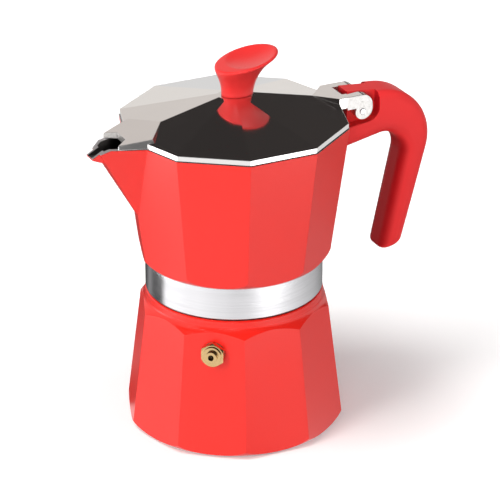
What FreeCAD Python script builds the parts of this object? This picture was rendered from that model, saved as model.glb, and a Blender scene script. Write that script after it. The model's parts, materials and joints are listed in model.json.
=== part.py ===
import FreeCAD, Part
import math
import os
import re
import Sketcher

# Stovetop moka pot, three-cup size. Millimetres and degrees, +Z up, the origin at the middle
# of the boiler's foot. The handle points along +X and the spout along -X.

facets = 10
step_angle = 360 / facets

sizes = {
    # boiler casting
    "boiler_foot_corner": 47.65,
    "boiler_top_corner": 40.0,
    "boiler_turn": -2.2,
    "boiler_floor": 4.0,
    "foot_round": 6.0,
    "shoulder_top": 60.3,
    "shoulder_step": 0.15,
    "shoulder_roll": 0.8,
    "shoulder_waist_drop": 3.0,
    "shoulder_flare_step": 1.7,
    "shoulder_flare_drop": 5.85,
    "shoulder_blend": 4.8,
    "boiler_wall": 4.12,
    "cavity_round": 6.0,
    "cavity_step": 5.5,
    "cavity_drop": 9.1,
    "neck_wall": 3.7,
    "neck_bore_sink": 1.6,
    "neck_root": 33.2,
    "neck_height": 13.9,
    # screw thread between the boiler and the collector
    "thread_pitch": 4.0,
    "thread_height": 1.2,
    "thread_root_width": 1.8,
    "thread_crest_width": 0.9,
    "thread_rise": 8.0,
    "thread_foot": 4.2,
    "thread_play": 0.35,
    "thread_crest_play": 0.6,
    # safety valve, square to one facet of the boiler
    "valve_facet": -126.0,
    "valve_drop": 14.0,
    "valve_shank": 4.0,
    "valve_shank_length": 7.5,
    "valve_hex_corner": 5.4,
    "valve_hex_thickness": 2.6,
    "valve_collar": 3.9,
    "valve_collar_thickness": 0.8,
    "valve_nipple": 2.4,
    "valve_nipple_length": 1.6,
    "valve_outlet": 1.2,
    "valve_bore": 2.2,
    "valve_washer_radius": 4.8,
    "valve_washer_thickness": 1.0,
    "valve_seat_thickness": 1.6,
    "valve_inlet": 1.1,
    "valve_ball": 1.6,
    "valve_wire": 0.22,
    "valve_coil_play": 0.53,
    "valve_turns": 6.0,
    "fit_play": 0.05,
    # coffee funnel and its screen
    "flange_inset": 0.3,
    "funnel_wall": 0.9,
    "basket_play": 0.9,
    "basket_depth": 21.5,
    "basket_taper": 0.4,
    "funnel_cone_drop": 9.0,
    "tube_radius": 5.0,
    "tube_gap": 6.7,
    "screen_thickness": 0.8,
    "screen_hole": 0.9,
    # gasket and filter plate under the collector
    "gasket_lap": 3.0,
    "gasket_inset": 0.3,
    "gasket_play": 0.3,
    "gasket_thickness": 3.0,
    "filter_inset": 3.9,
    "filter_thickness": 0.8,
    "filter_hole": 0.9,
    "steam_dome_inset": 3.0,
    "steam_dome_rise": 2.0,
    # collector casting
    "collector_height": 58.9,
    "rim_corner": 48.45,
    "collector_base_corner": 40.65,
    "collector_seat": 0.7,
    "collector_round": 7.0,
    "collector_round_rise": 7.0,
    "collector_round_step": 3.95,
    "collector_wall": 2.8,
    "collector_floor_rise": 9.8,
    "skirt_wall": 2.55,
    "skirt_gap": 0.8,
    # spout of the collector
    "spout_sink": 8.45,
    "spout_root_half": 13.75,
    "spout_reach": 14.35,
    "spout_tip_half": 4.6,
    "spout_height": 33.2,
    "keel_root_half": 2.15,
    "keel_proud": 0.35,
    "keel_foot_half": 0.4,
    "spout_wall": 2.4,
    "spout_floor_rise": 5.6,
    "lip_length": 4.8,
    "lip_overhang": 1.8,
    "lip_fall": 3.7,
    "lip_thickness": 1.3,
    "lip_half": 3.1,
    "lip_groove_half": 1.9,
    "keel_top_inset": 3.7,
    "keel_top_drop": 2.9,
    # riser column inside the collector
    "riser_radius": 5.2,
    "riser_top_radius": 4.2,
    "riser_wall": 1.0,
    "riser_foot_radius": 8.5,
    "riser_foot_thickness": 1.5,
    "riser_height": 38.0,
    "riser_window": 2.4,
    # lid casting
    "lid_gap": 0.2,
    "lid_inset": 0.45,
    "lid_edge": 2.2,
    "lid_rise": 9.6,
    "lid_boss": 6.6,
    "lid_wall": 1.9,
    "lid_skirt": 2.6,
    # visor of the lid over the spout
    "visor_nose_foot": 29.4,
    "visor_nose_head": 33.8,
    "visor_corner_foot": 40.4,
    "visor_corner_foot_half": 13.25,
    "visor_corner_head": 43.8,
    "visor_corner_head_half": 12.0,
    "visor_end": 55.2,
    "visor_end_half": 7.7,
    "visor_notch": 50.5,
    "visor_notch_half": 4.1,
    "visor_nose_rise": 6.1,
    "visor_end_rise": 1.7,
    "visor_head_room": 1.5,
    # hinge of the lid
    "pin_offset": 7.75,
    "pin_drop": 2.5,
    "pin_radius": 1.3,
    "pin_play": 0.04,
    "pin_proud": 0.25,
    "eye_radius": 3.5,
    "eye_reach": 4.6,
    "arm_rise": 7.5,
    "arm_half": 8.7,
    "arm_bend": 4.9,
    "arm_drop": 1.7,
    "arm_offset": 0.9,
    "slot_offset": 0.4,
    "slot_play": 0.3,
    "slot_relief": 0.4,
    "block_length": 11.5,
    "block_inset": 3.0,
    # knob on the lid
    "knob_gap": 0.05,
    "knob_foot_long": 6.9,
    "knob_foot_wide": 5.3,
    "knob_foot_shift": 1.7,
    "knob_neck_rise": 5.8,
    "knob_neck_long": 8.0,
    "knob_neck_wide": 6.1,
    "knob_neck_shift": 2.3,
    "knob_neck_tilt": 3.0,
    "knob_flare_rise": 10.3,
    "knob_flare_long": 10.4,
    "knob_flare_wide": 8.4,
    "knob_flare_shift": 3.4,
    "knob_flare_tilt": 8.0,
    "knob_head_rise": 15.3,
    "knob_head_long": 15.2,
    "knob_head_wide": 12.2,
    "knob_head_shift": 7.6,
    "knob_head_tilt": 12.8,
    "knob_rim": 0.6,
    "knob_dish_radius": 42.0,
    "knob_dish_depth": 1.3,
    "insert_radius": 3.2,
    "insert_length": 8.0,
    "knob_screw_radius": 1.9,
    "knob_screw_length": 11.0,
    "knob_screw_head": 3.6,
    "knob_screw_head_height": 2.2,
    "knob_washer_radius": 4.8,
    "knob_washer_thickness": 0.6,
    # handle and its fixing
    "lug_sink": 2.15,
    "lug_length": 11.05,
    "lug_half": 5.2,
    "lug_drop": 14.3,
    "lug_thickness": 3.6,
    "lug_play": 0.15,
    "handle_half": 8.7,
    "handle_round": 3.4,
    "handle_side_flat": 0.4,
    "handle_front_sink": 4.45,
    "handle_floor": 6.1,
    "handle_roof": 1.2,
    "handle_play": 0.2,
    "handle_grip_depth": 15.7,
    "handle_crown_depth": 14.8,
    "handle_inner_bend": 9.2,
    "handle_lean": 12.9,
    "handle_drop": 69.9,
    "handle_tail_width": 10.4,
    "handle_tail_slant": 6.5,
    "handle_tail_round": 1.8,
    "handle_crown_flat": 4.4,
    "handle_crown_fall": 4.8,
    "handle_outer_bend": 23.0,
    "crown_rise": 7.6,
    "tongue_half": 4.05,
    "tongue_inset": 2.6,
    "recess_reach": 8.0,
    "recess_rise": 7.0,
    "recess_round": 5.5,
    "handle_screw_inset": 5.0,
    "handle_screw_radius": 1.5,
    "handle_screw_head": 3.0,
    "handle_screw_head_height": 1.8,
    "handle_screw_depth": 2.9,
    "handle_washer_radius": 3.4,
    "handle_washer_thickness": 0.5,
    "handle_web": 1.2,
}

# levels and reaches that follow from the sizes, where pieces seat, line up or clear each other
places = {
    "neck_top": "shoulder_top + neck_height",
    "neck_bore": "neck_root - neck_wall",
    "neck_bore_start": "shoulder_top - neck_bore_sink",
    "skirt_radius": "neck_root + thread_height + thread_crest_play + skirt_wall",
    "shoulder_radius": "skirt_radius + shoulder_step",
    "shoulder_flare_start": "shoulder_radius + shoulder_flare_step",
    "cavity_foot_radius": "boiler_foot_corner * cos(%g) - boiler_wall" % (step_angle / 2),
    "cavity_top": "shoulder_top - cavity_drop",
    "cavity_top_radius": "neck_bore + cavity_step",
    "thread_start": "shoulder_top + thread_foot",
    "valve_level": "shoulder_top - valve_drop",
    "valve_coil": "valve_bore - valve_wire - valve_coil_play",
    "funnel_flange": "neck_root - flange_inset",
    "basket_radius": "neck_bore - basket_play",
    "tube_end": "boiler_floor + tube_gap",
    "gasket_radius": "neck_root - gasket_inset",
    "filter_radius": "gasket_radius - filter_inset",
    "gasket_bore": "filter_radius - gasket_lap",
    "steam_dome_radius": "gasket_bore - steam_dome_inset",
    "skirt_bottom": "shoulder_top + skirt_gap",
    "collector_base": "neck_top + collector_seat",
    "collector_floor": "collector_base + collector_floor_rise",
    "collector_round_radius": "skirt_radius + collector_round_step",
    "rim_level": "collector_base + collector_height",
    "collector_draft": "(rim_corner - collector_base_corner) / collector_height",
    "spout_root": "rim_corner - spout_sink",
    "spout_tip": "rim_corner + spout_reach",
    "spout_bottom": "rim_level - spout_height",
    "keel_foot": "rim_corner - spout_height * collector_draft + keel_proud",
    "keel_top": "spout_tip - keel_top_inset",
    "keel_top_level": "lip_level - keel_top_drop",
    "lip_start": "spout_tip - lip_length",
    "lip_reach": "spout_tip + lip_overhang",
    "lip_level": "rim_level - lip_fall",
    "riser_top": "collector_floor + riser_height",
    "lid_corner": "rim_corner - lid_inset",
    "pin_reach": "rim_corner + pin_offset",
    "pin_level": "rim_level - pin_drop",
    "arm_start": "lid_corner + arm_offset",
    "slot_start": "lid_corner + slot_offset",
    "slot_half": "tongue_half + slot_play",
    "tongue_front": "slot_start + tongue_inset",
    "tongue_top": "crown_start_level + (crown_start - tongue_front) * tan(handle_crown_fall)",
    "block_nose": "lid_corner - block_length",
    "block_corner": "lid_corner - block_inset",
    "lug_root": "rim_corner - lug_drop * collector_draft - lug_sink",
    "lug_reach": "rim_corner + lug_length",
    "lug_bottom": "rim_level - lug_drop",
    "lug_top": "lug_bottom + lug_thickness",
    "handle_front": "rim_corner - handle_front_sink",
    "handle_front_low": "lug_bottom - handle_floor",
    "handle_front_high": "lug_top + handle_roof",
    "handle_screw_reach": "lug_reach - handle_screw_inset",
    "crown_start": "pin_reach + crown_rise * sin(handle_crown_fall)",
    "crown_start_level": "pin_level + crown_rise * cos(handle_crown_fall)",
    "crown_lean": "atan((handle_grip_depth + handle_lean - handle_tail_width)"
                  " / (handle_drop - handle_tail_slant + crown_rise))",
    "crown_bend_run": "handle_outer_bend * tan((90 deg - handle_crown_fall * 1 deg + crown_lean) / 2)",
    "crown_length": "(pin_reach + recess_reach - crown_start) / cos(handle_crown_fall)"
                    " + handle_crown_flat + crown_bend_run",
    "crown_end": "crown_start + crown_length * cos(handle_crown_fall)",
    "crown_end_level": "crown_start_level - crown_length * sin(handle_crown_fall)",
    "handle_inner_corner": "crown_end - handle_grip_depth",
    "handle_inner_level": "crown_end_level - handle_crown_depth",
    "handle_tail_inner": "handle_inner_corner - handle_lean",
    "handle_tail_outer": "handle_tail_inner + handle_tail_width",
    "handle_tail_level": "pin_level - handle_drop",
    "handle_inner_round": "handle_tail_width * cos(crown_lean) - handle_round - handle_side_flat",
}

# distance that cutting outlines reach past the casting they trim
cut_margin = 6

doc = FreeCAD.newDocument("moka_pot")
sheet = doc.addObject("Spreadsheet::Sheet", "dims")
for row, (alias, number) in enumerate(sizes.items(), start=1):
    sheet.set("A%d" % row, alias)
    sheet.set("B%d" % row, str(number))
    sheet.setAlias("B%d" % row, alias)
doc.recompute()

pieces = []


def spelled(word):
    name = word[0]
    if name in places:
        return "(%s)" % bound(places[name])
    return "dims." + name if name in sizes else name


def bound(text):
    # writes a size expression with its sheet, the places in it spelled out
    return re.sub(r"[a-z_]+", spelled, text)


def value(text):
    return float(sheet.evalExpression(bound(text)))


def new_body(label):
    body = doc.addObject("PartDesign::Body", label)
    body.Label = label
    pieces.append(body)
    return body


def sketch_on(body, name, role, offset=None):
    sketch = body.newObject("Sketcher::SketchObject", name)
    plane = next(item for item in body.Origin.OriginFeatures if item.Role == role)
    sketch.AttachmentSupport = [(plane, "")]
    sketch.MapMode = "FlatFace"
    if offset:
        sketch.setExpression("AttachmentOffset.Base.z", bound(offset))
    return sketch


def arc_between(start, end, radius, left):
    # minor arc from start to end with its centre on the left or right of the way
    way = end - start
    height = math.sqrt(max(radius ** 2 - way.Length ** 2 / 4, 0))
    normal = FreeCAD.Vector(-way.y, way.x, 0).normalize()
    centre = (start + end) / 2 + normal * (height if left else -height)
    first, last = (start, end) if left else (end, start)
    angles = [math.atan2(spot.y - centre.y, spot.x - centre.x) for spot in (first, last)]
    if angles[1] < angles[0]:
        angles[1] += 2 * math.pi
    circle = Part.Circle(centre, FreeCAD.Vector(0, 0, 1), radius)
    return Part.ArcOfCircle(circle, angles[0], angles[1])


def outline(sketch, corners, arcs=None):
    # closed outline through corners given as expressions; arcs maps the number of a side to
    # its radius and to the side of the way on which its centre lies
    arcs = arcs or {}
    count = len(corners)
    spots = [FreeCAD.Vector(value(x), value(y), 0) for x, y in corners]
    ends = []
    for side in range(count):
        start = spots[side]
        end = spots[(side + 1) % count]
        if side in arcs:
            radius, where = arcs[side]
            sketch.addGeometry(arc_between(start, end, value(radius), where == "left"))
            ends.append((1, 2) if where == "left" else (2, 1))
        else:
            sketch.addGeometry(Part.LineSegment(start, end))
            ends.append((1, 2))
    for side in range(count):
        following = (side + 1) % count
        join = Sketcher.Constraint("Coincident", side, ends[side][1], following, ends[following][0])
        sketch.addConstraint(join)
    for side, (across, along) in enumerate(corners):
        for kind, text in (("DistanceX", across), ("DistanceY", along)):
            rule = Sketcher.Constraint(kind, side, ends[side][0], value(text))
            bind_rule(sketch, rule, text)
    for side, (radius, where) in arcs.items():
        bind_rule(sketch, Sketcher.Constraint("Radius", side, value(radius)), radius)
    return sketch


def ring(sketch, across, along, radius):
    centre = FreeCAD.Vector(value(across), value(along), 0)
    index = sketch.addGeometry(Part.Circle(centre, FreeCAD.Vector(0, 0, 1), value(radius)))
    bind_rule(sketch, Sketcher.Constraint("DistanceX", index, 3, value(across)), across)
    bind_rule(sketch, Sketcher.Constraint("DistanceY", index, 3, value(along)), along)
    bind_rule(sketch, Sketcher.Constraint("Radius", index, value(radius)), radius)
    return sketch


def bind_rule(sketch, rule, text):
    index = sketch.addConstraint(rule)
    sketch.setExpression("Constraints[%d]" % index, bound(text))


def mirrored(corners):
    # outline symmetric about the X axis, from its upper half
    lower = [(x, "-(%s)" % y) for x, y in reversed(corners) if y != "0"]
    return corners + lower


def decagon(corner, turn="0"):
    spots = []
    for index in range(facets):
        angle = "%g + %s" % (index * step_angle, turn)
        spots.append(("(%s) * cos(%s)" % (corner, angle), "(%s) * sin(%s)" % (corner, angle)))
    return spots


def turned(body, name, corners, arcs=None, cut=False):
    # ring about the Z axis from its half section (radius, height)
    sketch = sketch_on(body, name + "_section", "XZ_Plane")
    outline(sketch, corners, arcs)
    feature = body.newObject("PartDesign::Groove" if cut else "PartDesign::Revolution", name)
    feature.Profile = sketch
    feature.ReferenceAxis = (sketch, ["V_Axis"])
    feature.Angle = 360
    return feature


def lofted(body, name, profiles, cut=False):
    # straight walls between two level outlines, each given with its height
    sketches = []
    for index, (height, corners) in enumerate(profiles):
        sketch = sketch_on(body, "%s_outline_%d" % (name, index), "XY_Plane", height)
        sketches.append(outline(sketch, corners))
    feature = body.newObject("PartDesign::SubtractiveLoft" if cut else "PartDesign::AdditiveLoft", name)
    feature.Profile = sketches[0]
    feature.Sections = sketches[1:]
    feature.Ruled = True
    return feature


def extruded(body, name, sketch, length, cut=False, side="One side", reverse=False):
    feature = body.newObject("PartDesign::Pocket" if cut else "PartDesign::Pad", name)
    feature.Profile = sketch
    feature.SideType = side
    feature.Reversed = reverse
    feature.setExpression("Length", bound(length))
    return feature


def bent(body, name, corners, radius):
    # rounds the edges that run across a side outline at the given corners
    doc.recompute()
    base = body.Tip
    spots = [FreeCAD.Vector(value(x), 0, value(z)) for x, z in corners]
    names = []
    for index, edge in enumerate(base.Shape.Edges, start=1):
        middle = edge.BoundBox.Center
        if edge.BoundBox.YLength > 1 and min((middle - spot).Length for spot in spots) < 1e-3:
            names.append("Edge%d" % index)
    feature = body.newObject("PartDesign::Fillet", name)
    feature.Base = (base, names)
    feature.setExpression("Radius", bound(radius))
    return feature


def rectangle(left, right, bottom, top):
    return [(left, bottom), (right, bottom), (right, top), (left, top)]


def helical_ridge(body, name, root, crest, middle):
    # ridge of the screw thread: trapezoid swept up the right-hand helix
    half_root = "thread_root_width / 2"
    half_crest = "thread_crest_width / 2"
    section = [
        (root, "%s - %s" % (middle, half_root)),
        (crest, "%s - %s" % (middle, half_crest)),
        (crest, "%s + %s" % (middle, half_crest)),
        (root, "%s + %s" % (middle, half_root)),
    ]
    sketch = outline(sketch_on(body, name + "_section", "XZ_Plane"), section)
    feature = body.newObject("PartDesign::AdditiveHelix", name)
    feature.Profile = sketch
    feature.ReferenceAxis = (sketch, ["V_Axis"])
    feature.Mode = "pitch-height-angle"
    feature.setExpression("Pitch", bound("thread_pitch"))
    feature.setExpression("Height", bound("thread_rise"))
    feature.LeftHanded = False
    return feature


def polar_holes(body, name, plane_level, ring_radius, count, hole, depth):
    # ring of equal holes about the Z axis
    sketch = sketch_on(body, name + "_hole", "XY_Plane", plane_level)
    ring(sketch, ring_radius, "0", hole)
    pocket = extruded(body, name, sketch, depth, cut=True, side="Symmetric")
    doc.recompute()
    pattern = body.newObject("PartDesign::PolarPattern", name + "_ring")
    pattern.Originals = [pocket]
    pattern.Axis = (sketch, ["N_Axis"])
    pattern.Angle = 360
    pattern.Occurrences = count
    body.Tip = pattern
    return pattern


# Frame of the safety valve: its axis is square to the facet, pointing out of the boiler
def valve_frame():
    level = value("valve_level")
    cos_half = math.cos(math.pi / facets)
    foot = value("boiler_foot_corner") * cos_half
    top = value("boiler_top_corner") * cos_half
    draft = (foot - top) / value("shoulder_top")
    reach = foot - draft * level
    angle = value("valve_facet + boiler_turn")
    spin = FreeCAD.Rotation(FreeCAD.Vector(0, 0, 1), angle)
    lean = FreeCAD.Rotation(FreeCAD.Vector(0, 1, 0), 90 - math.degrees(math.atan(draft)))
    rotation = spin * lean
    spot = spin.multVec(FreeCAD.Vector(reach, 0, level))
    return FreeCAD.Placement(spot, rotation)


def make_boiler():
    body = new_body("boiler")
    lofted(body, "boiler_cast", [
        ("0", decagon("boiler_foot_corner", "boiler_turn")),
        ("shoulder_top", decagon("boiler_top_corner", "boiler_turn")),
    ])
    outside = "boiler_foot_corner + %d" % cut_margin
    turned(body, "foot_edge", [
        ("boiler_foot_corner - foot_round", "0"),
        ("boiler_foot_corner", "foot_round"),
        (outside, "foot_round"),
        (outside, "-%d" % cut_margin),
        ("boiler_foot_corner - foot_round", "-%d" % cut_margin),
    ], {0: ("foot_round", "left")}, cut=True)
    flare_level = "shoulder_top - shoulder_flare_drop"
    flare_run = "(boiler_foot_corner - shoulder_flare_start)"
    turned(body, "shoulder", [
        ("shoulder_radius - shoulder_roll", "shoulder_top"),
        ("shoulder_radius", "shoulder_top - shoulder_roll"),
        ("shoulder_radius + shoulder_roll / 4", "shoulder_top - shoulder_waist_drop"),
        ("shoulder_flare_start", flare_level),
        ("boiler_foot_corner", "%s - %s" % (flare_level, flare_run)),
        (outside, "%s - %s" % (flare_level, flare_run)),
        (outside, "shoulder_top + %d" % cut_margin),
        ("shoulder_radius - shoulder_roll", "shoulder_top + %d" % cut_margin),
    ], {0: ("shoulder_roll", "right"), 2: ("shoulder_blend", "left")}, cut=True)
    turned(body, "neck", rectangle("0", "neck_root", "cavity_top", "neck_top"))
    turned(body, "cavity", [
        ("0", "boiler_floor"),
        ("cavity_foot_radius - cavity_round", "boiler_floor"),
        ("cavity_foot_radius", "boiler_floor + cavity_round"),
        ("cavity_top_radius", "cavity_top"),
        ("neck_bore", "neck_bore_start"),
        ("neck_bore", "neck_top + %d" % cut_margin),
        ("0", "neck_top + %d" % cut_margin),
    ], {1: ("cavity_round", "left")}, cut=True)
    crest = "neck_root + thread_height"
    helical_ridge(body, "male_thread", "neck_root - thread_height / 2", crest, "thread_start")
    sketch = sketch_on(body, "valve_hole_outline", "XY_Plane")
    sketch.AttachmentOffset = valve_frame()
    ring(sketch, "0", "0", "valve_shank + fit_play")
    extruded(body, "valve_hole", sketch, "4 * valve_shank", cut=True, side="Symmetric")


def make_valve():
    frame = valve_frame()
    seat_face = "-valve_shank_length + valve_seat_thickness"
    hex_foot = "valve_washer_thickness"
    hex_head = "valve_washer_thickness + valve_hex_thickness"
    collar_head = "%s + valve_collar_thickness" % hex_head
    nipple_head = "%s + valve_nipple_length" % collar_head

    washer = new_body("valve_washer")
    inner = "valve_shank + fit_play"
    turned(washer, "washer_ring", rectangle(inner, "valve_washer_radius", "0", "valve_washer_thickness"))

    brass = new_body("valve_body")
    sketch = sketch_on(brass, "hex_outline", "XY_Plane", hex_foot)
    corners = []
    for index in range(6):
        angle = 60 * index
        corners.append(("valve_hex_corner * cos(%d)" % angle, "valve_hex_corner * sin(%d)" % angle))
    extruded(brass, "hex", outline(sketch, corners), "valve_hex_thickness")
    turned(brass, "shank", rectangle("0", "valve_shank", "-valve_shank_length", hex_foot))
    turned(brass, "collar", rectangle("0", "valve_collar", hex_head, collar_head))
    turned(brass, "nipple", rectangle("0", "valve_nipple", collar_head, nipple_head))
    chamfer_rise = "valve_hex_corner - valve_collar"
    turned(brass, "hex_chamfer", [
        ("valve_collar + (%s) / 2" % chamfer_rise, hex_head),
        ("valve_hex_corner + %s" % chamfer_rise, hex_head),
        ("valve_hex_corner + %s" % chamfer_rise, "%s - (%s) * 1.5" % (hex_head, chamfer_rise)),
    ], cut=True)
    bore_foot = "-valve_shank_length - 1"
    turned(brass, "spring_bore", rectangle("0", "valve_bore", bore_foot, hex_head), cut=True)
    turned(brass, "outlet", rectangle("0", "valve_outlet", hex_head, "%s + 1" % nipple_head), cut=True)

    seat = new_body("valve_seat")
    bottom = "-valve_shank_length"
    turned(seat, "seat_ring", rectangle("valve_inlet", "valve_bore - fit_play", bottom, seat_face))

    ball = new_body("valve_ball")
    lift = "sqrt((valve_ball + fit_play) ^ 2 - valve_inlet ^ 2)"
    sphere = ball.newObject("PartDesign::AdditiveSphere", "ball")
    sphere.setExpression("Radius", bound("valve_ball"))
    sphere.setExpression("Placement.Base.z", bound("%s + %s" % (seat_face, lift)))

    # closed helix between the ball and the shoulder of the bore
    spring = new_body("valve_spring")
    foot = "%s + %s + valve_ball * 0.75" % (seat_face, lift)
    sketch = sketch_on(spring, "wire_section", "XZ_Plane")
    ring(sketch, "valve_coil", "%s + valve_wire" % foot, "valve_wire")
    coil = spring.newObject("PartDesign::AdditiveHelix", "coil")
    coil.Profile = sketch
    coil.ReferenceAxis = (sketch, ["V_Axis"])
    coil.Mode = "height-turns-angle"
    coil.setExpression("Height", bound("(%s) - (%s) - 2.5 * valve_wire" % (hex_head, foot)))
    coil.setExpression("Turns", bound("valve_turns"))

    for body in (washer, brass, seat, ball, spring):
        body.Placement = frame


def make_funnel():
    body = new_body("funnel")
    flange_top = "neck_top + funnel_wall"
    basket_floor = "neck_top - basket_depth"
    cone_end = "%s - funnel_cone_drop" % basket_floor
    narrow = "basket_radius - basket_taper"
    turned(body, "spun_shell", [
        ("funnel_flange", "neck_top"),
        ("funnel_flange", flange_top),
        ("basket_radius - funnel_wall", flange_top),
        ("%s - funnel_wall" % narrow, basket_floor),
        ("tube_radius - funnel_wall", cone_end),
        ("tube_radius - funnel_wall", "tube_end"),
        ("tube_radius", "tube_end"),
        ("tube_radius", "%s - funnel_wall" % cone_end),
        (narrow, "%s - funnel_wall" % basket_floor),
        ("basket_radius", "neck_top"),
    ])

    screen = new_body("funnel_screen")
    radius = "%s - funnel_wall - 2 * fit_play" % narrow
    turned(screen, "disc", rectangle("0", radius, basket_floor, "%s + screen_thickness" % basket_floor))
    perforate(screen, basket_floor, "screen_hole", "screen_thickness", radius, 3)


def perforate(body, level, hole, thickness, radius, rings):
    # rings of holes on a disc, six more in each ring outwards
    for index in range(1, rings + 1):
        ring_radius = "(%s) * %g" % (radius, index / (rings + 0.6))
        depth = "4 * %s" % thickness
        polar_holes(body, "holes_%d" % index, level, ring_radius, 6 * index, hole, depth)
        doc.recompute()


def make_seals():
    flange_top = "neck_top + funnel_wall"
    gasket = new_body("gasket")
    top = "%s + gasket_thickness" % flange_top
    turned(gasket, "seal_ring", rectangle("gasket_bore", "gasket_radius", flange_top, top))

    plate = new_body("filter_plate")
    turned(plate, "disc", rectangle("0", "filter_radius", top, "%s + filter_thickness" % top))
    perforate(plate, top, "filter_hole", "filter_thickness", "gasket_bore", 4)


def make_collector():
    body = new_body("collector")
    lofted(body, "cast_wall", [
        ("collector_base", decagon("collector_base_corner")),
        ("rim_level", decagon("rim_corner")),
    ])
    outside = "rim_corner + %d" % cut_margin
    turned(body, "round_base", [
        ("skirt_radius", "collector_base"),
        ("collector_round_radius", "collector_base + collector_round_rise"),
        (outside, "collector_base + collector_round_rise"),
        (outside, "collector_base - %d" % cut_margin),
        ("skirt_radius", "collector_base - %d" % cut_margin),
    ], {0: ("collector_round", "left")}, cut=True)

    # spout wedge, its walls from the body to the tip and its keel down to the corner edge
    lofted(body, "spout", [
        ("spout_bottom", mirrored([
            ("-spout_root", "keel_root_half"),
            ("-keel_foot", "keel_foot_half"),
        ])),
        ("rim_level", mirrored([
            ("-spout_root", "spout_root_half"),
            ("-spout_tip", "spout_tip_half"),
        ])),
    ])
    sketch = sketch_on(body, "lip_outline", "XZ_Plane")
    outline(sketch, [
        ("-keel_top", "keel_top_level"),
        ("-lip_start + lip_half", "keel_top_level"),
        ("-lip_start + lip_half", "rim_level"),
        ("-lip_start", "rim_level"),
        ("-lip_reach", "lip_level"),
        ("-lip_reach", "lip_level - lip_thickness / 2"),
    ])
    extruded(body, "lip", sketch, "2 * lip_half", side="Symmetric")
    sketch = sketch_on(body, "lip_slope_outline", "XZ_Plane")
    fall = "(rim_level - lip_level) / (lip_reach - lip_start)"
    outline(sketch, [
        ("-lip_start", "rim_level"),
        ("-lip_start", "rim_level + %d" % cut_margin),
        ("-lip_reach - %d" % cut_margin, "rim_level + %d" % cut_margin),
        ("-lip_reach - %d" % cut_margin, "lip_level - %d * %s" % (cut_margin, fall)),
    ])
    extruded(body, "lip_slope", sketch, "4 * spout_root_half", cut=True, side="Symmetric")

    # inside of the chamber and of the spout
    lofted(body, "chamber", [
        ("collector_floor", decagon(
            "collector_base_corner - collector_wall + collector_draft * collector_floor_rise")),
        ("rim_level", decagon("rim_corner - collector_wall")),
    ], cut=True)
    inner_root = "spout_root - 2 * spout_wall"
    slope = "(spout_root_half - spout_tip_half) / (spout_tip - spout_root)"
    root_half = "spout_root_half + 2 * spout_wall * %s - spout_wall" % slope
    inner_tip = "spout_tip - spout_wall"
    tip_half = "spout_tip_half + spout_wall * %s - spout_wall * 0.9" % slope
    rise = "spout_floor_rise / (rim_level - spout_bottom)"
    widening = "(spout_root_half - keel_root_half) * %s" % rise
    foot_half = "keel_root_half + 2 * spout_wall * %s + %s" % (slope, widening)
    lofted(body, "spout_channel", [
        ("spout_bottom + spout_floor_rise", mirrored([
            ("-(%s)" % inner_root, "%s - spout_wall" % foot_half),
            ("-(keel_foot - spout_wall / 2)", "keel_foot_half"),
        ])),
        ("rim_level", mirrored([
            ("-(%s)" % inner_root, root_half),
            ("-(%s)" % inner_tip, tip_half),
        ])),
    ], cut=True)
    sketch = sketch_on(body, "lip_groove_outline", "XZ_Plane")
    outline(sketch, [
        ("-lip_start + lip_half", "lip_level - lip_thickness / 2"),
        ("-lip_start + lip_half", "rim_level + 1"),
        ("-lip_reach - 1", "rim_level + 1"),
        ("-lip_reach - 1", "lip_level - lip_thickness / 8"),
    ])
    extruded(body, "lip_groove", sketch, "2 * lip_groove_half", cut=True, side="Symmetric")

    # lug that the handle slides on, with the hole for its screw
    sketch = sketch_on(body, "lug_outline", "XZ_Plane")
    outline(sketch, rectangle("lug_root", "lug_reach", "lug_bottom", "lug_top"))
    extruded(body, "lug", sketch, "2 * lug_half", side="Symmetric")
    sketch = sketch_on(body, "lug_screw_outline", "XY_Plane", "lug_bottom")
    ring(sketch, "handle_screw_reach", "0", "handle_screw_radius + fit_play")
    depth = "2 * (handle_screw_depth + fit_play)"
    extruded(body, "lug_screw_hole", sketch, depth, cut=True, side="Symmetric")

    # skirt with its thread, and the seat of the gasket and filter plate under the floor
    flange_top = "neck_top + funnel_wall"
    gasket_top = "%s + gasket_thickness" % flange_top
    plate_top = "%s + filter_thickness" % gasket_top
    bore = "neck_root + thread_height + thread_crest_play"
    skirt_head = "collector_base + collector_round_rise / 4"
    turned(body, "skirt", rectangle(bore, "skirt_radius", "skirt_bottom", skirt_head))
    turned(body, "seal_seat", [
        ("0", "collector_base - 1"),
        ("gasket_radius + gasket_play", "collector_base - 1"),
        ("gasket_radius + gasket_play", gasket_top),
        ("filter_radius + 2 * fit_play", gasket_top),
        ("filter_radius + 2 * fit_play", plate_top),
        ("steam_dome_radius", plate_top),
        ("steam_dome_radius - steam_dome_rise", "%s + steam_dome_rise" % plate_top),
        ("0", "%s + steam_dome_rise" % plate_top),
    ], cut=True)
    middle = "thread_start - (thread_root_width + thread_crest_width) / 2 - thread_play"
    crest = "%s - thread_height" % bore
    helical_ridge(body, "female_thread", "%s + thread_height / 2" % bore, crest, middle)
    sketch = sketch_on(body, "riser_hole_outline", "XY_Plane", "collector_floor")
    ring(sketch, "0", "0", "riser_radius + fit_play")
    depth = "2 * (collector_floor - (%s))" % plate_top
    extruded(body, "riser_hole", sketch, depth, cut=True, side="Symmetric")


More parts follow.
